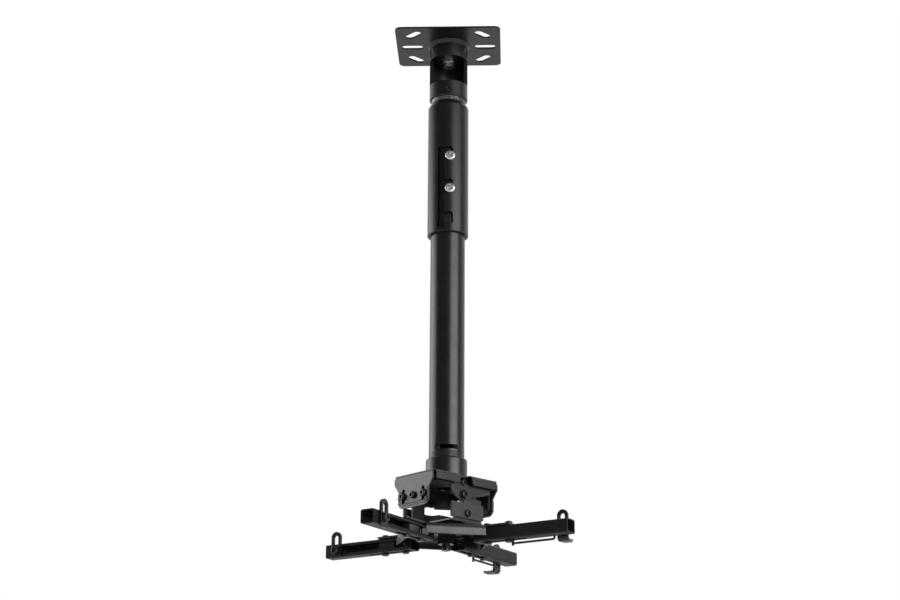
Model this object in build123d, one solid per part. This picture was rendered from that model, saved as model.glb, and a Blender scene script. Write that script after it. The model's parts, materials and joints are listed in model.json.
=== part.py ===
"""Projector ceiling mount: ceiling plate, drop column, tilting head and four-armed spider.

Origin at the centre of the ceiling plate's top face, +Z up, millimetres.
"""
from build123d import *
import os
from math import cos, radians, sin, sqrt

# Ceiling end
plate_length = 150.0
plate_width = 126.0
plate_thickness = 2.5
plate_corner = 9.0
slot_width = 12.0
straight_slot_length = 31.0
straight_slot_x = 52.5
slant_slot_length = 27.0
slant_slot_x = 49.3
slant_slot_y = 40.0
slant_slot_angle = 45.0

coupling_diameter = 54.5
coupling_bore = 44.7
coupling_length = 86.5
coupling_web = 24.2
coupling_rim_chamfer = 1.2
coupling_weld = 4.5
window_height = 39.3
window_plane = 4.0
coupling_bolt_diameter = 8.0
coupling_bolt_head = 13.0
coupling_bolt_head_height = 6.4
coupling_washer_diameter = 18.0
coupling_washer_thickness = 2.0

# Drop column
pipe_diameter = 48.26
pipe_wall = 3.68
thread_length = 20.0
neck_reveal = 5.0
sleeve_diameter = 57.5
sleeve_shoulder = 8.0
sleeve_foot = 6.2
sleeve_rim_chamfer = 0.8
pocket_count = 3
pocket_pitch = 49.0
first_pocket_drop = 89.5
pocket_lift = 10.2
pocket_channel_left = 17.0
pocket_channel_width = 9.4
pocket_end_margin = 3.5
pocket_turn = 7.2
column_above_pocket = 30.0
column_below_pocket = 457.8
column_slot_height = 5.5
column_slot_plane = 18.2
column_slot_rise = 39.7
column_screw_count = 2
column_screw_diameter = 8.0
column_screw_head = 14.1
column_screw_head_height = 3.6
column_screw_reach = 12.0
recess_length = 9.0
recess_width = 2.3
recess_depth = 1.8

collar_diameter = 56.2
collar_length = 25.8
collar_top_round = 2.5
set_screw_diameter = 8.0
set_screw_drop = 10.0
set_screw_socket = 4.0
set_screw_socket_depth = 1.5
view_turn = 2.0

# Head
head_turn = 45.0
sheet = 2.5
tray_length = 119.5
tray_width = 79.5
tray_bend = 5.0
tray_corner_cut = 4.0
tray_cable_hole = 40.0
axis_drop = 26.4
roll_axis_drop = 4.5
side_flange_height = 13.0
corner_relief = 3.0
notch_top_half = 9.5
notch_foot_half = 13.0
notch_reach = 10.4
end_plate_height = 46.7
end_plate_half = 37.5
end_plate_lower_half = 29.3
end_plate_taper = 11.0
end_plate_round = 8.0
roll_screw_spacing = 20.4
roll_slot_half_angle = 21.0
bead_radii = (9.0, 12.0)
bead_width = 1.3
bead_height = 0.9
bead_top = 7.0

cradle_gap = 0.5
cradle_web_rise = 12.0
cradle_hole = 28.0
cradle_ear_half = 26.0
cradle_ear_foot_half = 20.0
cradle_ear_neck = 12.0
cradle_ear_drop = 17.5
cradle_ear_round = 5.0
lug_face = 33.0
lug_radius = 23.0
lug_strip_half = 38.0
lug_neck_round = 4.8
lug_neck_rim = 1.1
skirt_half = 50.0
front_skirt_drops = (2.5, -6.5)
rear_skirt_drops = (9.8, 4.8)
rear_skirt_start = 8.0
web_cut_half = 24.0
web_cut_inner = 22.5

pitch_lock_rise = 15.9
pitch_slot_half_angle = 17.0
tilt_ear_rim = 1.6
tilt_ear_low_radius = 9.0
tilt_leg_start = 14.0
tilt_leg_end = 36.0
tilt_base_half = 29.0
tilt_link_top = 4.0
tilt_link_slope = 8.0
tilt_base_drop = 35.8
tilt_wall_face = 39.0
tilt_wall_top_drop = 14.6
tilt_front_wall_half = 22.0
tilt_rear_wall_half = 43.0
tilt_rear_dip_half = 20.0
tilt_rear_dip = 3.4
latch_height = 20.5
latch_top_drop = 13.3
latch_half = 29.0
latch_round = 2.0
latch_tab_width = 13.0
latch_tab_height = 4.0

pivot_screw_diameter = 6.0
pivot_head_diameter = 10.0
pivot_head_height = 4.0
roll_lock_diameter = 5.0
roll_lock_head = 10.4
pitch_lock_diameter = 4.0
pitch_lock_head = 8.0
pitch_lock_head_height = 3.2
pivot_washer_diameter = 14.0
pivot_washer_thickness = 1.2
nut_height = 3.2
pivot_nut_diameter = 11.0
lock_nut_diameter = 7.6
hex_socket_share = 0.5
screw_head_round = 0.45
hex_socket_depth = 2.0
latch_screw_diameter = 5.0
latch_screw_head = 10.0
latch_screw_head_height = 3.5
latch_screw_reach = 8.0
latch_screw_drop = 3.3

# Spider
hub_turn = 15.0
spacer_diameter = 50.0
spacer_height = 6.3
swivel_bolt_diameter = 12.0
swivel_nut = 19.0
swivel_nut_height = 8.0
swivel_washer_diameter = 28.0
swivel_washer_thickness = 2.5
swivel_head = 19.0
swivel_head_height = 13.0
swivel_tip_diameter = 12.0
swivel_tip_length = 8.5

hub_half = 59.5
hub_flange_half = 40.0
hub_flange_height = 14.7
hub_bend = 7.0
tongue_reach = 103.0
guide_bolt_radius = 64.0
clamp_bolt_margin = 6.0
clamp_block_length = 24.0
clamp_block_overhang = 5.0
arm_bolt_diameter = 6.0
arm_bolt_nut = 10.0
arm_bolt_nut_height = 3.5
clamp_bolt_head = 10.4
guide_bolt_head = 10.0
arm_bolt_head_height = 3.2

arm_names = ("far_left", "near_left", "near_right", "far_right")
arm_angles = (150.0, 240.0, 330.0, 60.0)
arm_extensions = (23.0, 20.0, 23.0, 5.0)
arm_travel = 30.0
arm_inner_clearance = 26.0
arm_hooked = (False, False, True, True)
foot_tops = (16.0, 14.4, 16.3, 11.1)
foot_from_tips = (19.5, 18.0, 18.5, 17.0)
arm_length = 140.0
arm_width = 21.0
arm_height = 18.5
arm_wall = 2.0
arm_corner = 3.0
arm_side_slot = 9.5
arm_side_slot_margin = 2.5
arm_side_slot_inner_margin = 10.0

foot_width = 15.3
foot_thickness = 3.5
foot_arch = 5.0
foot_slot_travel = 17.5
foot_plain_height = 36.5
foot_hook_height = 41.0
foot_hook_bend = 4.0
foot_hook_reach = 15.0
foot_hook_curl = 25.0
foot_hook_tip = 4.0
foot_hook_tip_width = 7.0
foot_corner = 4.0
foot_screw_diameter = 7.0
foot_screw_head = 11.0
foot_screw_head_height = 3.0
foot_washer_diameter = 13.0
foot_washer_thickness = 1.5
foot_nut = 11.5
foot_nut_height = 5.0

bail_diameter = 3.0
bail_drop = 3.6
bail_offset = 7.4
bail_length = 62.0
bail_foot_gap = 2.0
bail_bend = 2.5
stud_diameter = 3.6
stud_tail = 1.4

# Clearances
thread_clearance = 0.02
slide_clearance = 0.3
pin_clearance = 0.15
seat_gap = 0.3

# Heights that follow from the stack
plate_bottom = -plate_thickness
coupling_bottom = plate_bottom - coupling_length
web_bottom = plate_bottom - coupling_web
window_bottom = web_bottom - window_height
sleeve_top = coupling_bottom - neck_reveal
first_pocket = sleeve_top - first_pocket_drop
last_pocket = first_pocket - pocket_pitch * (pocket_count - 1)
pocket_half = column_screw_diameter / 2 + slide_clearance
channel_bottom = last_pocket - pocket_half - pocket_end_margin
sleeve_bottom = channel_bottom - sleeve_foot
column_top = first_pocket + column_above_pocket
column_bottom = first_pocket - column_below_pocket
tray_top = column_bottom - thread_clearance
collar_top = tray_top + collar_length
axis_height = tray_top - axis_drop

# Radii and faces that follow from the fits
pipe_radius = pipe_diameter / 2
pipe_bore_radius = pipe_radius - pipe_wall
thread_bore_radius = pipe_radius + thread_clearance
sleeve_radius = sleeve_diameter / 2
sleeve_bore_radius = pipe_radius + slide_clearance

tray_half = tray_length / 2
tray_side = tray_width / 2
end_plate_inner = tray_half - sheet
ear_outer = end_plate_inner - cradle_gap
lug_inner = lug_face - sheet
tilt_ear_outer = lug_inner - cradle_gap
tilt_ear_inner = tilt_ear_outer - sheet
pitch_slot_half = pitch_lock_diameter / 2 + slide_clearance
tilt_ear_radius = pitch_lock_rise + pitch_slot_half + tilt_ear_rim
tilt_base_bottom = -tilt_base_drop - sheet
latch_middle = -latch_top_drop - latch_height / 2
latch_screw_height = latch_middle - latch_screw_drop

hub_top = axis_height + tilt_base_bottom - spacer_height
hub_bend_start = hub_half - hub_bend
arm_top = hub_top - sheet - seat_gap
arm_centre = arm_top - arm_height / 2
arm_half = arm_width / 2
arm_bore_half = arm_half - arm_wall
arm_underside = -sheet - seat_gap - arm_height
arm_bolt_seat = arm_underside - seat_gap
clamp_bolt_radius = tongue_reach - clamp_bolt_margin
retracted_tip = arm_length + arm_inner_clearance
arm_tips = [retracted_tip + extension for extension in arm_extensions]
foot_inner = arm_half + seat_gap
foot_outer = foot_inner + foot_thickness
foot_slot_half = foot_screw_diameter / 2 + slide_clearance

cut_margin = 60.0


def rod(radius, top, bottom):
    return Pos(0, 0, (top + bottom) / 2) * Cylinder(radius, top - bottom)


def hexagon(across_flats, top, bottom):
    outline = RegularPolygon(across_flats / sqrt(3), 6)
    return Pos(0, 0, bottom) * extrude(outline, top - bottom)


def along_y(part, y):
    """Turn a part built along +Z so that it points along -Y, with its zero at y."""
    return Pos(0, y, 0) * Rot(90, 0, 0) * part


def along_x(part, x):
    """Turn a part built along +Z so that it points along -X, with its zero at x."""
    return Pos(x, 0, 0) * Rot(0, -90, 0) * part


def facing_x(part, side):
    """Stand a part up so that its +Z points along X to one side and its +Y points up."""
    return Plane(origin=(0, 0, 0), x_dir=(0, side, 0), z_dir=(side, 0, 0)).location * part


def facing_y(part, side):
    """Stand a part up so that its +Z points along Y to one side and its +Y points up."""
    return Plane(origin=(0, 0, 0), x_dir=(-side, 0, 0), z_dir=(0, side, 0)).location * part


def socket_screw(diameter, head, head_height, reach):
    """Socket screw with a rounded head, its seat at z = 0, head up and shank down."""
    body = rod(head / 2, head_height, 0) + rod(diameter / 2, 0, -reach)
    rim = body.edges().filter_by(GeomType.CIRCLE).sort_by(Axis.Z)[-1]
    body = fillet(rim, head_height * screw_head_round)
    return body - hexagon(head * hex_socket_share, head_height, head_height - hex_socket_depth)


def ring_nut(across_flats, bore, height):
    """Hexagon nut lying from z = 0 down."""
    return hexagon(across_flats, 0, -height) - rod(bore / 2 + thread_clearance, 0, -height)


def make_ceiling_plate():
    outline = RectangleRounded(plate_length, plate_width, plate_corner)
    for side in (-1, 1):
        outline -= Pos(side * straight_slot_x, 0) * SlotOverall(straight_slot_length, slot_width)
        for end in (-1, 1):
            place = Pos(side * slant_slot_x, end * slant_slot_y) * Rot(0, 0, -slant_slot_angle * side * end)
            outline -= place * SlotOverall(slant_slot_length, slot_width)
    outline -= Circle(coupling_bolt_diameter / 2 + thread_clearance)
    return extrude(outline, -plate_thickness)


def make_coupling():
    body = rod(coupling_diameter / 2, plate_bottom, coupling_bottom)
    rim = body.edges().filter_by(GeomType.CIRCLE).sort_by(Axis.Z)[0]
    body = chamfer(rim, coupling_rim_chamfer)
    weld = Cone(coupling_diameter / 2, coupling_diameter / 2 + coupling_weld, coupling_weld)
    body += Pos(0, 0, plate_bottom - coupling_weld / 2) * weld
    body -= rod(coupling_bore / 2, web_bottom, coupling_bottom)
    body -= rod(thread_bore_radius, coupling_bottom + thread_length, coupling_bottom)
    body -= rod(coupling_bolt_diameter / 2 + thread_clearance, plate_bottom, web_bottom)
    window_middle = (web_bottom + window_bottom) / 2
    window = Box(coupling_diameter * 2, cut_margin, window_height)
    body -= Pos(0, -window_plane - cut_margin / 2, window_middle) * window
    hole = along_y(rod(set_screw_diameter / 2 + thread_clearance, cut_margin, 0), 0)
    return body - Rot(0, 0, view_turn) * Pos(0, 0, coupling_bottom + set_screw_drop) * hole


def make_coupling_bolt():
    seat = web_bottom - coupling_washer_thickness
    shank = rod(coupling_bolt_diameter / 2, 0, seat)
    return shank + hexagon(coupling_bolt_head, seat, seat - coupling_bolt_head_height)


def make_coupling_washer():
    bottom = web_bottom - coupling_washer_thickness
    hole = rod(coupling_bolt_diameter / 2 + thread_clearance, web_bottom, bottom)
    return rod(coupling_washer_diameter / 2, web_bottom, bottom) - hole


def make_set_screw(outer_radius):
    """Headless screw that runs in from the outer radius to the pipe, pointing along -Y."""
    length = outer_radius - thread_bore_radius
    screw = rod(set_screw_diameter / 2, length, 0)
    screw -= hexagon(set_screw_socket, length, length - set_screw_socket_depth)
    return along_y(screw, -thread_bore_radius)


def pocket_outline():
    """Insertion channel with hook pockets to its right, drawn in the X-Z plane of the sleeve's front."""
    pocket_top = first_pocket + pocket_lift
    channel_top = pocket_top + pocket_half
    channel_middle = pocket_channel_width / 2 - pocket_channel_left
    channel_height = channel_top - channel_bottom
    outline = Pos(channel_middle, (channel_top + channel_bottom) / 2) * RectangleRounded(
        pocket_channel_width, channel_height, 1.0)
    for index in range(pocket_count):
        rest = first_pocket - pocket_pitch * index
        passage_length = pocket_channel_left
        passage = Rectangle(passage_length, 2 * pocket_half)
        hook = SlotCenterToCenter(pocket_lift, 2 * pocket_half)
        outline += Pos(-passage_length / 2, rest + pocket_lift) * passage
        outline += Pos(0, rest + pocket_lift / 2) * Rot(0, 0, 90) * hook
    return outline


def make_outer_sleeve():
    neck_top = coupling_bottom + thread_length
    shoulder_bottom = sleeve_top - sleeve_shoulder
    bore_top = shoulder_bottom - sleeve_shoulder / 2
    profile = Polyline(
        (pipe_bore_radius, neck_top),
        (pipe_radius, neck_top),
        (pipe_radius, sleeve_top),
        (sleeve_radius, shoulder_bottom),
        (sleeve_radius, sleeve_bottom + sleeve_rim_chamfer),
        (sleeve_radius - sleeve_rim_chamfer, sleeve_bottom),
        (sleeve_bore_radius, sleeve_bottom),
        (sleeve_bore_radius, bore_top),
        (pipe_bore_radius, bore_top),
        close=True,
    )
    body = revolve(Plane.XZ * make_face(profile), Axis.Z)
    cut = extrude(Plane.XZ * pocket_outline(), cut_margin)
    return Rot(0, 0, pocket_turn) * (body - cut)


def make_inner_column():
    body = rod(pipe_radius, column_top, column_bottom) - rod(pipe_bore_radius, column_top, column_bottom)
    for index in range(column_screw_count):
        hole = along_y(rod(column_screw_diameter / 2 + thread_clearance, cut_margin, 0), 0)
        body -= Pos(0, 0, first_pocket - pocket_pitch * index) * Rot(0, 0, pocket_turn) * hole
    slot = Box(cut_margin, cut_margin, column_slot_height)
    slot_place = Pos(0, -column_slot_plane - cut_margin / 2, column_bottom + column_slot_rise)
    return body - Rot(0, 0, view_turn) * slot_place * slot


def make_column_screws():
    seat = sleeve_radius + seat_gap
    head = rod(column_screw_head / 2, column_screw_head_height, 0)
    rim = head.edges().filter_by(GeomType.CIRCLE).sort_by(Axis.Z)[-1]
    screw = fillet(rim, column_screw_head_height * 0.6)
    screw += rod(column_screw_diameter / 2, 0, -column_screw_reach)
    for turn in (45, 135):
        slit = Box(recess_length, recess_width, recess_depth * 2)
        screw -= Pos(0, 0, column_screw_head_height) * Rot(0, 0, turn) * slit
    placed = []
    for index in range(column_screw_count):
        height = first_pocket - pocket_pitch * index
        placed.append(Rot(0, 0, pocket_turn) * Pos(0, 0, height) * along_y(screw, -seat))
    return Compound(children=placed)


def make_collar():
    body = rod(collar_diameter / 2, collar_top, tray_top)
    rim = body.edges().filter_by(GeomType.CIRCLE).sort_by(Axis.Z)[-1]
    body = fillet(rim, collar_top_round)
    body -= rod(thread_bore_radius, collar_top, tray_top)
    hole = along_y(rod(set_screw_diameter / 2 + thread_clearance, cut_margin, 0), 0)
    return body - Rot(0, 0, 180) * Pos(0, 0, tray_top + set_screw_drop) * hole


def in_head(part):
    return Pos(0, 0, axis_height) * Rot(0, 0, head_turn) * part


def end_plate_outline():
    """Shield outline of a tray end plate, drawn across the head with its zero on the pitch axis."""
    shoulder = axis_drop - side_flange_height
    waist = shoulder - end_plate_taper
    foot = axis_drop - end_plate_height
    points = [
        (-end_plate_half, axis_drop), (-end_plate_half, shoulder), (-end_plate_lower_half, waist),
        (-end_plate_lower_half, foot), (end_plate_lower_half, foot), (end_plate_lower_half, waist),
        (end_plate_half, shoulder), (end_plate_half, axis_drop),
    ]
    outline = make_face(Polyline(*points, close=True))
    feet = outline.vertices().filter_by_position(Axis.Y, foot - 0.1, foot + 0.1)
    return fillet(feet, end_plate_round)


def roll_slots():
    slot_half = roll_lock_diameter / 2 + slide_clearance
    pieces = Circle(pivot_screw_diameter / 2 + pin_clearance)
    for middle in (0, 180):
        arc = CenterArc((0, 0), roll_screw_spacing, middle - roll_slot_half_angle, 2 * roll_slot_half_angle)
        pieces += SlotArc(arc, 2 * slot_half)
    return Pos(0, -roll_axis_drop) * pieces


def end_beads():
    """Embossed lines that run under the screw row and round its ends."""
    pieces = None
    for radius in bead_radii:
        outer = SlotCenterToCenter(2 * roll_screw_spacing, 2 * radius + bead_width)
        ring = outer - SlotCenterToCenter(2 * roll_screw_spacing, 2 * radius - bead_width)
        pieces = ring if pieces is None else pieces + ring
    keep = Pos(0, bead_top - cut_margin / 2) * Rectangle(4 * end_plate_lower_half, cut_margin)
    return Pos(0, -roll_axis_drop) * (pieces & keep) & end_plate_outline()


def make_head_tray():
    body = Pos(0, 0, axis_drop - sheet / 2) * Box(tray_length, tray_width, sheet)
    flange_length = 2 * (end_plate_inner - corner_relief)
    flange_middle = axis_drop - side_flange_height / 2
    wall = extrude(end_plate_outline(), sheet)
    flange = Box(flange_length, sheet, side_flange_height)
    for side in (-1, 1):
        body += Pos(0, side * (tray_side - sheet / 2), flange_middle) * flange
        body += Pos(side * end_plate_inner, 0, 0) * facing_x(wall, side)
    envelope = Pos(0, 0, axis_drop - end_plate_height / 2) * Box(tray_length, tray_width, end_plate_height)
    body &= fillet(envelope.faces().sort_by(Axis.Z)[-1].edges(), tray_bend)
    corner_side = tray_corner_cut * 2**0.5
    corner = Rot(0, 0, 45) * Box(corner_side, corner_side, 2 * tray_bend)
    for corner_x in (-tray_half, tray_half):
        for corner_y in (-tray_side, tray_side):
            body -= Pos(corner_x, corner_y, axis_drop) * corner
    cuts = extrude(roll_slots(), 2 * sheet, both=True)
    beads = extrude(end_beads(), bead_height)
    notch_points = [
        (-notch_top_half, axis_drop), (notch_top_half, axis_drop),
        (notch_foot_half, axis_drop - side_flange_height), (-notch_foot_half, axis_drop - side_flange_height),
    ]
    notch = extrude(Plane.XZ * make_face(Polyline(*notch_points, close=True)), notch_reach)
    for side in (-1, 1):
        body += Pos(side * tray_half, 0, 0) * facing_x(beads, side)
        body -= Pos(side * (end_plate_inner + sheet / 2), 0, 0) * facing_x(cuts, side)
        body -= Rot(0, 0, 90 + 90 * side) * Pos(0, notch_reach - tray_side, 0) * notch
    return in_head(body - rod(tray_cable_hole / 2, axis_drop, axis_drop - sheet))


def ear_outline():
    top = cradle_web_rise + sheet
    points = [
        (-cradle_ear_half, top), (-cradle_ear_half, -cradle_ear_neck),
        (-cradle_ear_foot_half, -cradle_ear_drop), (cradle_ear_foot_half, -cradle_ear_drop),
        (cradle_ear_half, -cradle_ear_neck), (cradle_ear_half, top),
    ]
    outline = make_face(Polyline(*points, close=True))
    feet = outline.vertices().filter_by_position(Axis.Y, -cradle_ear_drop - 0.1, -cradle_ear_drop + 0.1)
    outline = fillet(feet, cradle_ear_round)
    outline -= Pos(0, -roll_axis_drop) * Circle(pivot_screw_diameter / 2 + thread_clearance)
    for side in (-1, 1):
        lock_place = Pos(side * roll_screw_spacing, -roll_axis_drop)
        outline -= lock_place * Circle(roll_lock_diameter / 2 + thread_clearance)
    return outline


def lug_outline():
    """Half-round pitch lug with its edge strip and the neck of its lock screw."""
    top = cradle_web_rise + sheet
    half_disc = Pos(0, top) * Circle(lug_radius)
    half_disc &= Pos(0, top - lug_radius) * Rectangle(4 * lug_radius, 2 * lug_radius)
    strip = Pos(0, top - sheet / 2) * Rectangle(2 * lug_strip_half, sheet)
    neck = Pos(0, pitch_lock_rise) * Circle(lug_neck_round)
    neck_top = pitch_lock_rise + pitch_lock_diameter / 2 + lug_neck_rim
    neck &= Pos(0, neck_top - lug_radius) * Rectangle(4 * lug_radius, 2 * lug_radius)
    outline = half_disc + strip + neck
    outline -= Circle(pivot_screw_diameter / 2 + thread_clearance)
    return outline - Pos(0, pitch_lock_rise) * Circle(pitch_lock_diameter / 2 + thread_clearance)


def skirt_outline(start, drops):
    """Side wall from a lug to the end of the cradle with a sloping lower edge, drawn to the +x side."""
    top = cradle_web_rise + sheet
    points = [(start, top), (skirt_half, top), (skirt_half, -drops[1]), (start, -drops[0])]
    return make_face(Polyline(*points, close=True))


def make_cradle():
    web_middle = cradle_web_rise + sheet / 2
    body = Pos(0, 0, web_middle) * Box(2 * ear_outer, 2 * cradle_ear_half, sheet)
    wings = Box(2 * skirt_half, 2 * lug_face, sheet)
    body += Pos(0, 0, web_middle) * wings
    cut_depth = lug_face - web_cut_inner
    for side in (-1, 1):
        cut = Box(2 * web_cut_half, cut_depth, 2 * sheet)
        body -= Pos(0, side * (web_cut_inner + cut_depth / 2), web_middle) * cut
    body -= rod(cradle_hole / 2, cradle_web_rise + sheet, cradle_web_rise)
    ear = extrude(ear_outline(), sheet)
    lug = extrude(lug_outline(), sheet)
    for side in (-1, 1):
        body += Pos(side * (ear_outer - sheet), 0, 0) * facing_x(ear, side)
        body += Pos(0, side * lug_inner, 0) * facing_y(lug, side)
    rear_skirt = extrude(skirt_outline(rear_skirt_start, rear_skirt_drops), sheet)
    front_skirt = extrude(skirt_outline(lug_radius - lug_neck_round, front_skirt_drops), sheet)
    body += Pos(0, lug_inner, 0) * facing_y(rear_skirt, 1)
    body += Pos(0, lug_inner, 0) * facing_y(mirror(rear_skirt, Plane.YZ), 1)
    body += Pos(0, -lug_inner, 0) * facing_y(front_skirt, -1)
    return in_head(body)


def on_both_ends(part, face):
    """Copy a screw built along +Z to both tray end plates, seated at the face."""
    out_left = along_x(part, -face)
    return [out_left, Rot(0, 0, 180) * out_left]


def on_both_sides(part, face):
    """Copy a screw built along +Z to both lugs, seated at the face."""
    out_front = along_y(part, -face)
    return [out_front, Rot(0, 0, 180) * out_front]


def make_roll_pivot_screws():
    seat = tray_half + seat_gap
    reach = seat - (ear_outer - sheet)
    screw = socket_screw(pivot_screw_diameter, pivot_head_diameter, pivot_head_height, reach)
    lowered = Pos(0, 0, -roll_axis_drop)
    return Compound(children=[in_head(lowered * piece) for piece in on_both_ends(screw, seat)])


def make_roll_lock_screws():
    seat = tray_half + seat_gap
    reach = seat - (ear_outer - sheet)
    screw = socket_screw(roll_lock_diameter, roll_lock_head, pivot_head_height, reach)
    placed = []
    for side in (-1, 1):
        for piece in on_both_ends(screw, seat):
            placed.append(in_head(Pos(0, side * roll_screw_spacing, -roll_axis_drop) * piece))
    return Compound(children=placed)


def make_pitch_pivot_screws():
    seat = lug_face + pivot_washer_thickness
    reach = seat - tilt_ear_inner + seat_gap + nut_height
    screw = socket_screw(pivot_screw_diameter, pivot_head_diameter, pivot_head_height, reach)
    return Compound(children=[in_head(piece) for piece in on_both_sides(screw, seat)])


def make_pitch_pivot_washers():
    washer = rod(pivot_washer_diameter / 2, pivot_washer_thickness, 0)
    washer -= rod(pivot_screw_diameter / 2 + thread_clearance, pivot_washer_thickness, 0)
    return Compound(children=[in_head(piece) for piece in on_both_sides(washer, lug_face)])


def make_pitch_lock_screws():
    reach = lug_face - tilt_ear_inner + seat_gap + nut_height
    screw = socket_screw(pitch_lock_diameter, pitch_lock_head, pitch_lock_head_height, reach)
    raised = Pos(0, 0, pitch_lock_rise)
    return Compound(children=[in_head(raised * piece) for piece in on_both_sides(screw, lug_face)])


def make_pitch_nuts():
    pivot_nut = ring_nut(pivot_nut_diameter, pivot_screw_diameter, nut_height)
    lock_nut = ring_nut(lock_nut_diameter, pitch_lock_diameter, nut_height)
    face = tilt_ear_inner - seat_gap
    pieces = on_both_sides(pivot_nut, face)
    pieces += [Pos(0, 0, pitch_lock_rise) * piece for piece in on_both_sides(lock_nut, face)]
    return Compound(children=[in_head(piece) for piece in pieces])


def tilt_ear_outline():
    """Ear on the pitch axis with a link to one side and a leg from there down to the base."""
    leg_foot = -tilt_base_drop - sheet
    upper_half = Pos(0, tilt_ear_radius) * Rectangle(4 * tilt_ear_radius, 2 * tilt_ear_radius)
    outline = Circle(tilt_ear_radius) & upper_half
    outline += Circle(tilt_ear_low_radius)
    points = [
        (0, tilt_link_top), (tilt_leg_end, tilt_link_top - tilt_link_slope), (tilt_leg_end, leg_foot),
        (tilt_leg_start, leg_foot), (tilt_leg_start, -tilt_ear_low_radius), (0, -tilt_ear_low_radius),
    ]
    outline += make_face(Polyline(*points, close=True))
    outline -= Circle(pivot_screw_diameter / 2 + pin_clearance)
    arc = CenterArc((0, 0), pitch_lock_rise, 90 - pitch_slot_half_angle, 2 * pitch_slot_half_angle)
    return outline - SlotArc(arc, 2 * pitch_slot_half)


def rear_wall_outline():
    """Rear wall of the tilt bracket with a shallow dip in its top edge, its zero at its middle."""
    height = tilt_base_drop + sheet - tilt_wall_top_drop
    dip_radius = (tilt_rear_dip_half**2 + tilt_rear_dip**2) / (2 * tilt_rear_dip)
    wall = Rectangle(2 * tilt_rear_wall_half, height)
    return wall - Pos(0, height / 2 - tilt_rear_dip + dip_radius) * Circle(dip_radius)


def make_tilt_bracket():
    body = Pos(0, 0, -tilt_base_drop - sheet / 2) * Box(2 * tilt_base_half, 2 * tilt_wall_face, sheet)
    ear = extrude(tilt_ear_outline(), sheet)
    wall_height = tilt_base_drop + sheet - tilt_wall_top_drop
    wall_middle = tilt_base_bottom + wall_height / 2
    wall_centre = tilt_wall_face - sheet / 2
    body += Pos(0, -wall_centre, wall_middle) * Box(2 * tilt_front_wall_half, sheet, wall_height)
    body += Pos(0, tilt_wall_face - sheet, wall_middle) * facing_y(extrude(rear_wall_outline(), sheet), 1)
    for side in (-1, 1):
        body += Pos(0, side * tilt_ear_inner, 0) * facing_y(ear, side)
    body -= rod(swivel_bolt_diameter / 2 + thread_clearance, -tilt_base_drop, tilt_base_bottom)
    hole = along_y(rod(latch_screw_diameter / 2 + thread_clearance, cut_margin, 0), 0)
    hole_at_wall = Pos(0, -tilt_ear_outer, latch_screw_height) * hole
    return in_head(body - hole_at_wall)


def make_latch_plate():
    outline = RectangleRounded(2 * latch_half, latch_height, latch_round)
    tab = RectangleRounded(latch_tab_width, 2 * latch_tab_height, latch_round / 2)
    outline += Pos(0, latch_height / 2) * tab
    outline -= Pos(0, -latch_screw_drop) * Circle(latch_screw_diameter / 2 + thread_clearance)
    plate = extrude(outline, sheet)
    return in_head(Pos(0, 0, latch_middle) * along_y(plate, -tilt_wall_face))


def make_latch_screw():
    screw = socket_screw(latch_screw_diameter, latch_screw_head, latch_screw_head_height, latch_screw_reach)
    return in_head(Pos(0, 0, latch_screw_height) * along_y(screw, -tilt_wall_face - sheet))


def make_swivel_spacer():
    top = axis_height + tilt_base_bottom
    bottom = hub_top + seat_gap
    bore = rod(swivel_bolt_diameter / 2 + thread_clearance, top, bottom)
    return rod(spacer_diameter / 2, top, bottom) - bore


def swivel_seat():
    return hub_top - sheet - seat_gap - swivel_washer_thickness


def make_swivel_bolt():
    seat = swivel_seat()
    head_bottom = seat - swivel_head_height
    bolt = rod(swivel_bolt_diameter / 2, axis_height - tilt_base_drop + swivel_nut_height, seat)
    bolt += hexagon(swivel_head, seat, head_bottom)
    return bolt + rod(swivel_tip_diameter / 2, head_bottom, head_bottom - swivel_tip_length)


def make_swivel_washer():
    seat = swivel_seat()
    top = seat + swivel_washer_thickness
    bore = rod(swivel_bolt_diameter / 2 + thread_clearance, top, seat)
    return rod(swivel_washer_diameter / 2, top, seat) - bore


def make_swivel_nut():
    nut = ring_nut(swivel_nut, swivel_bolt_diameter, swivel_nut_height)
    return Pos(0, 0, axis_height - tilt_base_drop + swivel_nut_height) * nut


def on_arms(part):
    """Copy a part built along +X to the four arm directions, at the hub's top."""
    return [Pos(0, 0, hub_top) * Rot(0, 0, angle) * part for angle in arm_angles]


def hub_outline():
    points = []
    for turn in range(4):
        for x, y in ((hub_bend_start, -hub_flange_half), (hub_bend_start, hub_flange_half)):
            angle = radians(90 * turn)
            points.append((x * cos(angle) - y * sin(angle), x * sin(angle) + y * cos(angle)))
    return make_face(Polyline(*points, close=True))


def hub_flange_profile():
    """Rounded fold and turned-down wall of one hub flange, drawn outward along x with y up."""
    bend = Circle(hub_bend) - Circle(hub_bend - sheet)
    bend &= Pos(hub_bend / 2, hub_bend / 2) * Rectangle(hub_bend, hub_bend)
    wall_height = hub_flange_height - hub_bend
    wall = Pos(hub_bend - sheet / 2, -wall_height / 2) * Rectangle(sheet, wall_height)
    return Pos(hub_bend_start, -hub_bend) * (bend + wall)


def tongue():
    """Tongue of the hub over one arm, along +X from the hub's top."""
    return Pos(tongue_reach / 2, 0, -sheet / 2) * Box(tongue_reach, arm_width, sheet)


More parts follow.
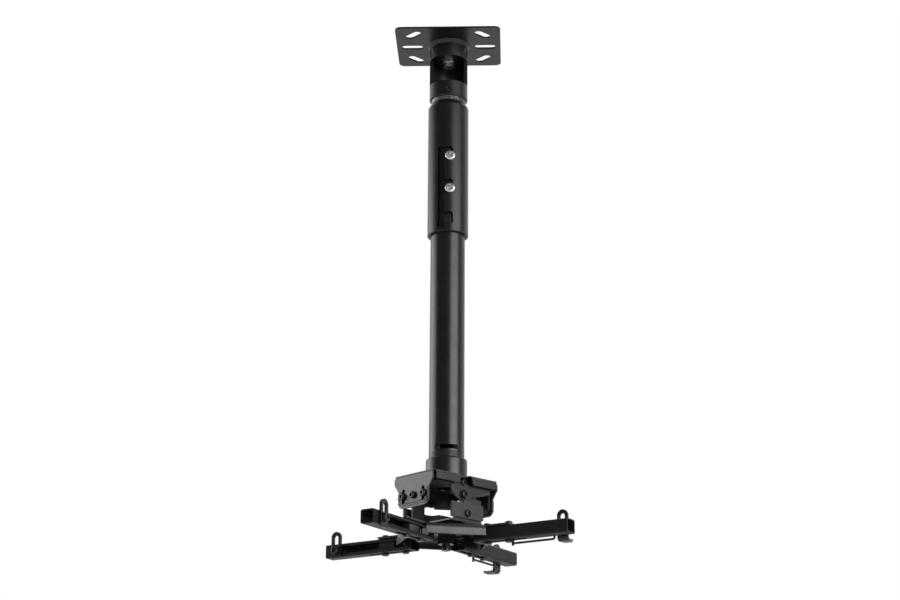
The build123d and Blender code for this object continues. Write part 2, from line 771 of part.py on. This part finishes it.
def make_hub():
    body = extrude(Rot(0, 0, hub_turn) * hub_outline(), -sheet)
    flange = extrude(hub_flange_profile(), hub_flange_half, both=True)
    for turn in range(4):
        body += Rot(0, 0, hub_turn + 90 * turn) * facing_y(flange, -1)
    bolt_hole = rod(arm_bolt_diameter / 2 + thread_clearance, 0, -sheet)
    for angle in arm_angles:
        body += Rot(0, 0, angle) * tongue()
        for radius in (guide_bolt_radius, clamp_bolt_radius):
            body -= Rot(0, 0, angle) * Pos(radius, 0, 0) * bolt_hole
    body -= rod(swivel_bolt_diameter / 2 + pin_clearance, 0, -sheet)
    return Pos(0, 0, hub_top) * body


def arm_bolt(head):
    """Button-headed bolt from below the arm with a domed nut on the hub, its zero at the hub's top."""
    shank = rod(arm_bolt_diameter / 2, arm_bolt_nut_height / 2, arm_bolt_seat)
    button = rod(head / 2, arm_bolt_seat, arm_bolt_seat - arm_bolt_head_height)
    button_rim = button.edges().filter_by(GeomType.CIRCLE).sort_by(Axis.Z)[0]
    nut = rod(arm_bolt_nut / 2, arm_bolt_nut_height, 0)
    nut_rim = nut.edges().filter_by(GeomType.CIRCLE).sort_by(Axis.Z)[-1]
    rounded = fillet(button_rim, arm_bolt_head_height * 0.6)
    return shank + rounded + fillet(nut_rim, arm_bolt_nut_height * 0.6)


def make_arm_clamp_bolts():
    return Compound(children=on_arms(Pos(clamp_bolt_radius, 0, 0) * arm_bolt(clamp_bolt_head)))


def make_arm_guide_bolts():
    return Compound(children=on_arms(Pos(guide_bolt_radius, 0, 0) * arm_bolt(guide_bolt_head)))


def make_arm_blocks():
    """Round-ended blocks that keep the arms square under the clamp bolts."""
    height = arm_height - 2 * arm_wall - 2 * slide_clearance
    half_width = arm_bore_half - slide_clearance
    block = extrude(SlotOverall(clamp_block_length, height), half_width, both=True)
    middle = clamp_bolt_radius + clamp_block_overhang - clamp_block_length / 2
    block = Pos(middle, 0, arm_underside + arm_height / 2) * facing_y(block, 1)
    hole = rod(arm_bolt_diameter / 2 + thread_clearance, 0, arm_underside)
    return Compound(children=on_arms(block - Pos(clamp_bolt_radius, 0, 0) * hole))


def in_arm(part, index):
    return Pos(0, 0, arm_centre) * Rot(0, 0, arm_angles[index]) * part


def foot_place(index):
    return arm_tips[index] - foot_from_tips[index]


def arm_bolt_slot(tip):
    """Slot through the arm's top and bottom that lets it slide along its two bolts."""
    slot_half = arm_bolt_diameter / 2 + slide_clearance
    outer = tip - retracted_tip + clamp_bolt_radius + slot_half
    inner = tip - retracted_tip - arm_travel + guide_bolt_radius - slot_half
    slot = SlotOverall(outer - inner, 2 * slot_half)
    return Pos((outer + inner) / 2, 0, 0) * extrude(slot, arm_height, both=True)


def arm_side_cut(index):
    """Long slot in the foot's side of the arm, closed towards the tip."""
    outer = foot_place(index) - foot_screw_diameter / 2 - arm_side_slot_margin
    inner = arm_tips[index] - arm_length + arm_side_slot_inner_margin
    slot = extrude(SlotOverall(outer - inner, arm_side_slot), arm_width)
    return Pos((outer + inner) / 2, 0, 0) * facing_y(slot, 1)


def make_arm(index):
    tip = arm_tips[index]
    section = RectangleRounded(arm_width, arm_height, arm_corner)
    section -= RectangleRounded(arm_width - 2 * arm_wall, arm_height - 2 * arm_wall, arm_corner - arm_wall)
    tube = Pos(tip - arm_length, 0, 0) * facing_x(extrude(section, arm_length), 1)
    tube -= arm_bolt_slot(tip)
    tube -= arm_side_cut(index)
    screw_hole = Rot(0, 0, 180) * along_y(rod(foot_screw_diameter / 2 + thread_clearance, arm_width, 0), 0)
    tube -= Pos(foot_place(index), 0, 0) * screw_hole
    if arm_hooked[index]:
        outer, inner = bail_ends(index)
        leg_hole = rod(bail_diameter / 2 + thread_clearance, arm_wall - arm_height / 2, -arm_height / 2)
        tube -= Pos(outer, bail_offset, 0) * leg_hole
        stud_hole = rod(stud_diameter / 4 + thread_clearance, arm_wall - arm_height / 2, -arm_height / 2)
        tube -= Pos(inner, bail_offset, 0) * stud_hole
    return in_arm(tube, index)


def foot_strip_outline(height):
    """Strip with a round top, drawn with its top at y = 0 and its middle at x = 0."""
    straight = height - foot_width / 2
    strip = Pos(0, -foot_width / 2 - straight / 2) * Rectangle(foot_width, straight)
    return strip + Pos(0, -foot_width / 2) * Circle(foot_width / 2)


def foot_slot():
    """Cut of the height slot, through the strip in the foot's own frame."""
    slot_centre = -foot_arch - foot_slot_half - foot_slot_travel / 2
    slot = SlotCenterToCenter(foot_slot_travel, 2 * foot_slot_half)
    upright = Pos(0, slot_centre) * Rot(0, 0, 90) * slot
    return Rot(90, 0, 0) * extrude(upright, 2 * foot_thickness, both=True)


def hook_profile(height):
    """Bent lower end of a hooked foot, in the plane across the arm, with the strip's top at y = 0."""
    bend_height = foot_hook_bend + foot_thickness / 2
    knee = bend_height - height
    straight = Line((0, -height + foot_hook_height / 4), (0, knee))
    turn = RadiusArc((0, knee), (foot_hook_bend, knee - foot_hook_bend), -foot_hook_bend)
    shelf_end = (foot_hook_reach, knee - foot_hook_bend)
    shelf = Line((foot_hook_bend, knee - foot_hook_bend), shelf_end)
    rise = radians(foot_hook_curl)
    tip_end = (shelf_end[0] + foot_hook_tip * cos(rise), shelf_end[1] + foot_hook_tip * sin(rise))
    tip = Line(shelf_end, tip_end)
    return trace(Curve() + [straight, turn, shelf, tip], foot_thickness)


def hook_plan():
    """Outline of the hook seen from above, narrowing from the strip to the tip."""
    start = foot_thickness / 2
    end = foot_hook_reach + foot_hook_tip + foot_thickness
    half = foot_width / 2
    tip_half = foot_hook_tip_width / 2
    points = [(-half, -foot_thickness), (half, -foot_thickness), (half, start), (tip_half, end),
              (-tip_half, end), (-half, start)]
    return make_face(Polyline(*points, close=True))


def make_foot(index):
    top = arm_height / 2 + foot_tops[index]
    middle = (foot_outer + foot_inner) / 2
    hooked = arm_hooked[index]
    height = foot_hook_height if hooked else foot_plain_height
    strip_height = height - foot_hook_bend - foot_thickness / 2 if hooked else height
    outline = foot_strip_outline(strip_height)
    if not hooked:
        feet = outline.vertices().group_by(Axis.Y)[0]
        outline = fillet(feet, foot_corner)
    strip = Pos(0, foot_thickness / 2, 0) * Rot(90, 0, 0) * extrude(outline, foot_thickness)
    if hooked:
        hook = facing_x(extrude(hook_profile(height), foot_width / 2, both=True), 1)
        strip += hook & extrude(hook_plan(), 2 * height, both=True)
    slotted = strip - foot_slot()
    return in_arm(Pos(foot_place(index), middle, top) * slotted, index)


def make_foot_screw(index):
    seat = foot_outer + seat_gap + foot_washer_thickness
    reach = seat - arm_bore_half + foot_nut_height
    screw = socket_screw(foot_screw_diameter, foot_screw_head, foot_screw_head_height, reach)
    outward = Rot(0, 0, 180) * along_y(screw, -seat)
    return in_arm(Pos(foot_place(index), 0, 0) * outward, index)


def make_foot_washer(index):
    washer = rod(foot_washer_diameter / 2, foot_washer_thickness, 0)
    washer -= rod(foot_screw_diameter / 2 + thread_clearance, foot_washer_thickness, 0)
    outward = Rot(0, 0, 180) * along_y(washer, -foot_outer - seat_gap)
    return in_arm(Pos(foot_place(index), 0, 0) * outward, index)


def make_foot_nut(index):
    nut = ring_nut(foot_nut, foot_screw_diameter, foot_nut_height)
    outward = Rot(0, 0, 180) * along_y(nut, -arm_bore_half)
    return in_arm(Pos(foot_place(index), 0, 0) * outward, index)


def bail_ends(index):
    """Outer leg and inner stud of a wire bail, measured along the arm."""
    outer = foot_place(index) - foot_width / 2 - bail_foot_gap
    return outer, outer - bail_length


def make_bail(index):
    outer, inner = bail_ends(index)
    height = -arm_height / 2 - bail_drop
    leg_top = arm_wall - arm_height / 2
    path = FilletPolyline((inner, bail_offset, height), (outer, bail_offset, height),
                          (outer, bail_offset, leg_top), radius=bail_bend)
    section = Plane(origin=(inner, bail_offset, height), z_dir=(1, 0, 0)) * Circle(bail_diameter / 2)
    return in_arm(sweep(section, path), index)


def make_bail_stud(index):
    outer, inner = bail_ends(index)
    underside = -arm_height / 2
    wire_height = underside - bail_drop
    stud = rod(stud_diameter / 2, underside, wire_height - bail_diameter / 2 - stud_tail)
    stud += rod(stud_diameter / 4, underside + arm_wall, underside)
    hole = Rot(0, 90, 0) * rod(bail_diameter / 2 + thread_clearance, stud_diameter, 0)
    stud -= Pos(0, 0, wire_height) * hole
    return in_arm(Pos(inner, bail_offset, 0) * stud, index)


def build_nodes():
    collar_set = Rot(0, 0, 180) * Pos(0, 0, tray_top + set_screw_drop) * make_set_screw(collar_diameter / 2)
    coupling_set_place = Rot(0, 0, view_turn) * Pos(0, 0, coupling_bottom + set_screw_drop)
    nodes = {
        "ceiling_plate": make_ceiling_plate(),
        "coupling": make_coupling(),
        "coupling_bolt": make_coupling_bolt(),
        "coupling_washer": make_coupling_washer(),
        "coupling_set_screw": coupling_set_place * make_set_screw(coupling_diameter / 2),
        "outer_sleeve": make_outer_sleeve(),
        "inner_column": make_inner_column(),
        "column_screws": make_column_screws(),
        "collar": make_collar(),
        "collar_set_screw": collar_set,
        "head_tray": make_head_tray(),
        "cradle": make_cradle(),
        "roll_pivot_screws": make_roll_pivot_screws(),
        "roll_lock_screws": make_roll_lock_screws(),
        "pitch_pivot_screws": make_pitch_pivot_screws(),
        "pitch_pivot_washers": make_pitch_pivot_washers(),
        "pitch_lock_screws": make_pitch_lock_screws(),
        "pitch_nuts": make_pitch_nuts(),
        "tilt_bracket": make_tilt_bracket(),
        "latch_plate": make_latch_plate(),
        "latch_screw": make_latch_screw(),
        "swivel_spacer": make_swivel_spacer(),
        "swivel_bolt": make_swivel_bolt(),
        "swivel_washer": make_swivel_washer(),
        "swivel_nut": make_swivel_nut(),
        "hub": make_hub(),
        "arm_clamp_bolts": make_arm_clamp_bolts(),
        "arm_guide_bolts": make_arm_guide_bolts(),
        "arm_blocks": make_arm_blocks(),
    }
    for index, name in enumerate(arm_names):
        nodes[f"arm_{name}"] = make_arm(index)
        nodes[f"foot_{name}"] = make_foot(index)
        nodes[f"foot_screw_{name}"] = make_foot_screw(index)
        nodes[f"foot_washer_{name}"] = make_foot_washer(index)
        nodes[f"foot_nut_{name}"] = make_foot_nut(index)
        if arm_hooked[index]:
            nodes[f"bail_{name}"] = make_bail(index)
            nodes[f"bail_stud_{name}"] = make_bail_stud(index)
    return nodes


os.makedirs("parts", exist_ok=True)
for node_name, node_part in build_nodes().items():
    export_step(node_part, f"parts/{node_name}.step")
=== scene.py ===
import json
import math
import bpy
import bmesh
from mathutils import Matrix, Vector


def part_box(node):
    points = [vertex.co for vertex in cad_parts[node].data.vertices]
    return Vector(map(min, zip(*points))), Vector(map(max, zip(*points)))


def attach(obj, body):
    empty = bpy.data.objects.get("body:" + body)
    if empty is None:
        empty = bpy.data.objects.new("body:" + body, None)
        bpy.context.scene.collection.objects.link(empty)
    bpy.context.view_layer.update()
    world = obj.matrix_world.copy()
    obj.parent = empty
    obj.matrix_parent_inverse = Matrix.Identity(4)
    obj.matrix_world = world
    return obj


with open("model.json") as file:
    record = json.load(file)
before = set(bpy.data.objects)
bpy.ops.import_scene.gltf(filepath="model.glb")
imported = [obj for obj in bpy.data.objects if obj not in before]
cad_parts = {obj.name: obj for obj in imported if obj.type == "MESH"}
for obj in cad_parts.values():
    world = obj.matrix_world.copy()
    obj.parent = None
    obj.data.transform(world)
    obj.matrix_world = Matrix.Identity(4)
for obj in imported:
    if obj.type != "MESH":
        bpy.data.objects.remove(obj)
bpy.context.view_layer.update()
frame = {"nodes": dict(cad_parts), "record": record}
nodes = frame["nodes"]
print("frame loaded:", len(nodes), "nodes")


# node and mesh helpers

def newFinish(name):
    finish = bpy.data.materials.new(name)
    finish.use_nodes = True
    tree = finish.node_tree
    return finish, tree, tree.nodes["Principled BSDF"]


def addNoise(tree, coords, scale, detail=3.0, rough=0.55):
    noise = tree.nodes.new("ShaderNodeTexNoise")
    noise.inputs["Scale"].default_value = scale
    noise.inputs["Detail"].default_value = detail
    noise.inputs["Roughness"].default_value = rough
    tree.links.new(coords.outputs["Object"], noise.inputs["Vector"])
    return noise.outputs["Fac"]


def addTone(tree, source, places, look):
    ramp = tree.nodes.new("ShaderNodeValToRGB")
    tones = (look["dark"], look["light"])
    for element, place, tone in zip(ramp.color_ramp.elements, places, tones):
        element.position = place
        element.color = (*tone, 1.0)
    tree.links.new(source, ramp.inputs["Fac"])
    return ramp.outputs["Color"]


def addRange(tree, source, low, high, fromLow=0.3, fromHigh=0.7):
    spread = tree.nodes.new("ShaderNodeMapRange")
    spread.inputs["From Min"].default_value = fromLow
    spread.inputs["From Max"].default_value = fromHigh
    spread.inputs["To Min"].default_value = low
    spread.inputs["To Max"].default_value = high
    tree.links.new(source, spread.inputs["Value"])
    return spread.outputs["Result"]


def addMath(tree, operation, first, second):
    step = tree.nodes.new("ShaderNodeMath")
    step.operation = operation
    tree.links.new(first, step.inputs[0])
    if isinstance(second, float):
        step.inputs[1].default_value = second
    else:
        tree.links.new(second, step.inputs[1])
    return step.outputs[0]


def addSurface(tree, shader, height, strength, distance, edgeRadius, edgeSamples=4):
    edge = tree.nodes.new("ShaderNodeBevel")  # soft highlight along folded and cut edges
    edge.samples = edgeSamples
    edge.inputs["Radius"].default_value = edgeRadius
    bump = tree.nodes.new("ShaderNodeBump")
    bump.inputs["Strength"].default_value = strength
    bump.inputs["Distance"].default_value = distance
    tree.links.new(height, bump.inputs["Height"])
    tree.links.new(edge.outputs["Normal"], bump.inputs["Normal"])
    tree.links.new(bump.outputs["Normal"], shader.inputs["Normal"])


def placeMesh(name, mesh, finish):
    data = bpy.data.meshes.new(name)
    mesh.to_mesh(data)
    mesh.free()
    data.materials.append(finish)
    placed = bpy.data.objects.new(name, data)
    bpy.context.collection.objects.link(placed)
    return placed


# powder coats of the tubes, folded sheets, arms and latch

powderLook = {
    "coat": {
        "dark": (0.006, 0.006, 0.0065), "light": (0.011, 0.011, 0.0115),
        "gloss": (0.27, 0.35), "shine": 0.45,
    },
    "sheet": {
        "dark": (0.016, 0.016, 0.0165), "light": (0.027, 0.027, 0.0275),
        "gloss": (0.30, 0.40), "shine": 0.68,
    },
    "arm": {
        "dark": (0.010, 0.010, 0.0105), "light": (0.017, 0.017, 0.0175),
        "gloss": (0.36, 0.46), "shine": 0.2,
    },
    "latch": {
        "dark": (0.045, 0.045, 0.046), "light": (0.065, 0.065, 0.066),
        "gloss": (0.36, 0.46), "shine": 0.35,
    },
}
powderGrain = {
    "cloudScale": 22.0, "cloudStops": (0.3, 0.72),  # slow change of tone
    "blotchScale": 60.0, "blotchDetail": 4.0,  # duller and glossier patches
    "peelScale": 900.0, "peelDetail": 2.0,  # orange peel
    "peelStrength": 0.12, "peelDepth": 0.00025,
    "edgeRadius": 0.0009,
}


def powderFinish(name, look):
    finish, tree, shader = newFinish(name)
    coords = tree.nodes.new("ShaderNodeTexCoord")
    cloud = addNoise(tree, coords, powderGrain["cloudScale"])
    tone = addTone(tree, cloud, powderGrain["cloudStops"], look)
    tree.links.new(tone, shader.inputs["Base Color"])
    blotch = addNoise(tree, coords, powderGrain["blotchScale"], powderGrain["blotchDetail"])
    tree.links.new(addRange(tree, blotch, *look["gloss"]), shader.inputs["Roughness"])
    peel = addNoise(tree, coords, powderGrain["peelScale"], powderGrain["peelDetail"])
    addSurface(tree, shader, peel, powderGrain["peelStrength"], powderGrain["peelDepth"],
               powderGrain["edgeRadius"])
    shader.inputs["Specular IOR Level"].default_value = look["shine"]
    return finish


# black and bright screws, wire and bare thread

screwLook = {
    "oxide": {
        "dark": (0.012, 0.012, 0.012), "light": (0.03, 0.03, 0.031),
        "gloss": (0.16, 0.28), "metal": 0.0,
    },
    "zinc": {
        "dark": (0.66, 0.66, 0.65), "light": (0.86, 0.86, 0.85),
        "gloss": (0.22, 0.34), "metal": 1.0,
    },
    "thread": {
        "dark": (0.10, 0.10, 0.10), "light": (0.30, 0.29, 0.28),
        "gloss": (0.26, 0.40), "metal": 1.0,
    },
}
screwGrain = {
    "grainScale": 300.0, "grainDetail": 4.0, "grainStops": (0.32, 0.68),
    "paintedShadeReach": 0.003,  # painted shade: how near a wall the base colour is darkened in a recess
    "fineScale": 1500.0, "fineDetail": 2.0, "fineStrength": 0.06, "fineDepth": 0.0001,
    "edgeRadius": 0.0003,
}


def screwFinish(name, look):
    finish, tree, shader = newFinish(name)
    coords = tree.nodes.new("ShaderNodeTexCoord")
    grain = addNoise(tree, coords, screwGrain["grainScale"], screwGrain["grainDetail"])
    tone = addTone(tree, grain, screwGrain["grainStops"], look)
    # painted shade: ambient occlusion darkens the base colour in recesses and crevices, where
    # shade falls
    paintedShadeNode = tree.nodes.new("ShaderNodeAmbientOcclusion")
    paintedShadeNode.inputs["Distance"].default_value = screwGrain["paintedShadeReach"]
    tree.links.new(tone, paintedShadeNode.inputs["Color"])
    tree.links.new(paintedShadeNode.outputs["Color"], shader.inputs["Base Color"])
    tree.links.new(addRange(tree, grain, *look["gloss"]), shader.inputs["Roughness"])
    shader.inputs["Metallic"].default_value = look["metal"]
    fine = addNoise(tree, coords, screwGrain["fineScale"], screwGrain["fineDetail"])
    addSurface(tree, shader, fine, screwGrain["fineStrength"], screwGrain["fineDepth"],
               screwGrain["edgeRadius"])
    return finish


finishes = {
    "powder_coat": powderFinish("blackPowderCoat", powderLook["coat"]),
    "sheet_coat": powderFinish("sheetCoat", powderLook["sheet"]),
    "arm_coat": powderFinish("armPowderCoat", powderLook["arm"]),
    "latch_coat": powderFinish("latchCoat", powderLook["latch"]),
    "black_screw": screwFinish("blackOxide", screwLook["oxide"]),
    "zinc": screwFinish("brightZinc", screwLook["zinc"]),
    "wire": screwFinish("lacqueredWire", screwLook["oxide"]),
}
bareThread = screwFinish("bareThread", screwLook["thread"])

for subpart in frame["record"]["subparts"]:
    piece = nodes[subpart["node"]]
    piece.data.materials.clear()
    piece.data.materials.append(finishes[subpart["material_slot"]])
print("finishes assigned")


# thread ridges on the pipe ends: bare under the coupling, coated above the collar

neckThread = {
    "body": "ceiling_fixing", "finish": bareThread,
    "radius": 0.02413, "depth": 0.00045, "pitch": 0.0022, "turns": 3,
    "lap": 0.0008,  # reach up into the coupling
}
collarThread = {
    "body": "drop_column", "finish": finishes["powder_coat"],
    "radius": 0.02413, "depth": 0.00016, "pitch": 0.0022, "turns": 4,
    "lap": 0.0004,  # reach down into the collar
}
threadRing = {
    "rootSink": 0.0001, "innerSink": 0.0006,  # below the pipe's surface
    "steps": 96, "mergeGap": 1e-6,
}


def makeThread(name, look, top):
    root = look["radius"] - threadRing["rootSink"]
    inner = look["radius"] - threadRing["innerSink"]
    crest = look["radius"] + look["depth"]
    points = [(inner, top)]
    for turn in range(look["turns"]):
        start = top - turn * look["pitch"]
        points += [(root, start), (crest, start - look["pitch"] * 0.5)]
    foot = top - look["turns"] * look["pitch"]
    points += [(root, foot), (inner, foot)]
    mesh = bmesh.new()
    ring = [mesh.verts.new((radius, 0.0, height)) for radius, height in points]
    edges = [mesh.edges.new(pair) for pair in zip(ring, ring[1:] + ring[:1])]
    bmesh.ops.spin(mesh, geom=ring + edges, cent=(0, 0, 0), axis=(0, 0, 1),
                   angle=math.tau, steps=threadRing["steps"], use_merge=True)
    bmesh.ops.remove_doubles(mesh, verts=mesh.verts, dist=threadRing["mergeGap"])
    bmesh.ops.recalc_face_normals(mesh, faces=mesh.faces)
    piece = placeMesh(name, mesh, look["finish"])
    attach(piece, look["body"])


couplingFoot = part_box("coupling")[0][2]
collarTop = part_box("collar")[1][2]
collarThreadHeight = collarThread["turns"] * collarThread["pitch"]
makeThread("neckThreadRidges", neckThread, couplingFoot + neckThread["lap"])
makeThread("collarThreadRidges", collarThread,
           collarTop + collarThreadHeight - collarThread["lap"])
print("threads made")


# floor and backdrop

studio = {
    "floorDrop": -1.9, "floorSize": 14.0, "floorTone": (0.82, 0.82, 0.82),
    "floorRoughness": 0.9, "floorGlow": 0.6,  # glow lifts the floor towards the backdrop's white
    "roomTone": 0.14, "whiteFrom": (0.0, 0.5),  # where the room turns from dim to white, along Y
}


def makeFloor():
    finish, tree, shader = newFinish("paleFloor")
    shader.inputs["Base Color"].default_value = (*studio["floorTone"], 1.0)
    shader.inputs["Roughness"].default_value = studio["floorRoughness"]
    rays = tree.nodes.new("ShaderNodeLightPath").outputs
    seen = addMath(tree, "MAXIMUM", rays["Is Camera Ray"], rays["Is Glossy Ray"])
    share = addMath(tree, "MULTIPLY", seen, studio["floorGlow"])
    glow = tree.nodes.new("ShaderNodeEmission")
    mix = tree.nodes.new("ShaderNodeMixShader")
    tree.links.new(share, mix.inputs[0])
    tree.links.new(shader.outputs[0], mix.inputs[1])
    tree.links.new(glow.outputs[0], mix.inputs[2])
    tree.links.new(mix.outputs[0], tree.nodes["Material Output"].inputs["Surface"])
    mesh = bmesh.new()
    bmesh.ops.create_grid(mesh, x_segments=1, y_segments=1, size=studio["floorSize"])
    bmesh.ops.translate(mesh, verts=mesh.verts, vec=(0, 0, studio["floorDrop"]))
    floor = placeMesh("floor", mesh, finish)


def makeBackdrop():
    world = bpy.data.worlds.new("studio")
    bpy.context.scene.world = world
    world.use_nodes = True
    tree = world.node_tree
    background = tree.nodes["Background"]
    rays = tree.nodes.new("ShaderNodeLightPath").outputs
    coords = tree.nodes.new("ShaderNodeTexCoord")
    split = tree.nodes.new("ShaderNodeSeparateXYZ")
    tree.links.new(coords.outputs["Generated"], split.inputs[0])
    # gloss mirrors white from behind the part and a dim room from in front
    sweep = addRange(tree, split.outputs["Y"], studio["roomTone"], 1.0, *studio["whiteFrom"])
    mirrored = addMath(tree, "MULTIPLY", rays["Is Glossy Ray"], sweep)
    seen = addMath(tree, "MAXIMUM", rays["Is Camera Ray"], rays["Is Transmission Ray"])
    bright = addMath(tree, "MAXIMUM", mirrored, seen)
    level = addMath(tree, "MAXIMUM", bright, studio["roomTone"])
    tree.links.new(level, background.inputs["Strength"])
    background.inputs["Color"].default_value = (1.0, 1.0, 1.0, 1.0)


# softboxes, one at each side

lamps = {
    "leftSoftbox": {
        "place": (-2.52, 0.63, 0.0), "aim": (0, 0, -0.45), "size": (2.2, 1.5), "power": 33.0,
    },
    "rightSoftbox": {
        "place": (1.97, -1.70, 0.0), "aim": (0, 0, -0.45), "size": (2.4, 1.5), "power": 62.0,
    },
}


def makeLamps():
    for name, look in lamps.items():
        light = bpy.data.lights.new(name, "AREA")
        light.shape = "RECTANGLE"
        light.size, light.size_y = look["size"]
        light.energy = look["power"]
        lamp = bpy.data.objects.new(name, light)
        bpy.context.collection.objects.link(lamp)
        lamp.location = look["place"]
        towards = Vector(look["aim"]) - Vector(look["place"])
        lamp.rotation_euler = towards.to_track_quat("-Z", "Y").to_euler()
        lamp.visible_camera = False


# camera: turn, pitch and roll in degrees, lens and sensor in mm

shot = {
    "eye": (0.0909, -2.4988, -1.2004), "turn": 2.0, "pitch": 18.0, "roll": 0.3,
    "lens": 75.76, "sensor": 36.0, "farClip": 50.0,
}


def makeCamera():
    turn = math.radians(shot["turn"])
    pitch = math.radians(shot["pitch"])
    level = Vector((-math.sin(turn), math.cos(turn), 0.0))
    right = Vector((math.cos(turn), math.sin(turn), 0.0))
    ahead = level * math.cos(pitch) + Vector((0, 0, math.sin(pitch)))
    above = right.cross(ahead)
    lean = Matrix.Rotation(math.radians(-shot["roll"]), 3, ahead)
    view = Matrix((lean @ right, lean @ above, -ahead)).transposed().to_4x4()
    view.translation = Vector(shot["eye"])
    data = bpy.data.cameras.new("photoCamera")
    data.lens = shot["lens"]
    data.sensor_width = shot["sensor"]
    data.clip_end = shot["farClip"]
    camera = bpy.data.objects.new("photoCamera", data)
    bpy.context.collection.objects.link(camera)
    camera.matrix_world = view
    bpy.context.scene.camera = camera


makeFloor()
makeBackdrop()
makeLamps()
makeCamera()
bpy.context.scene.view_settings.view_transform = "Standard"
print("studio set")
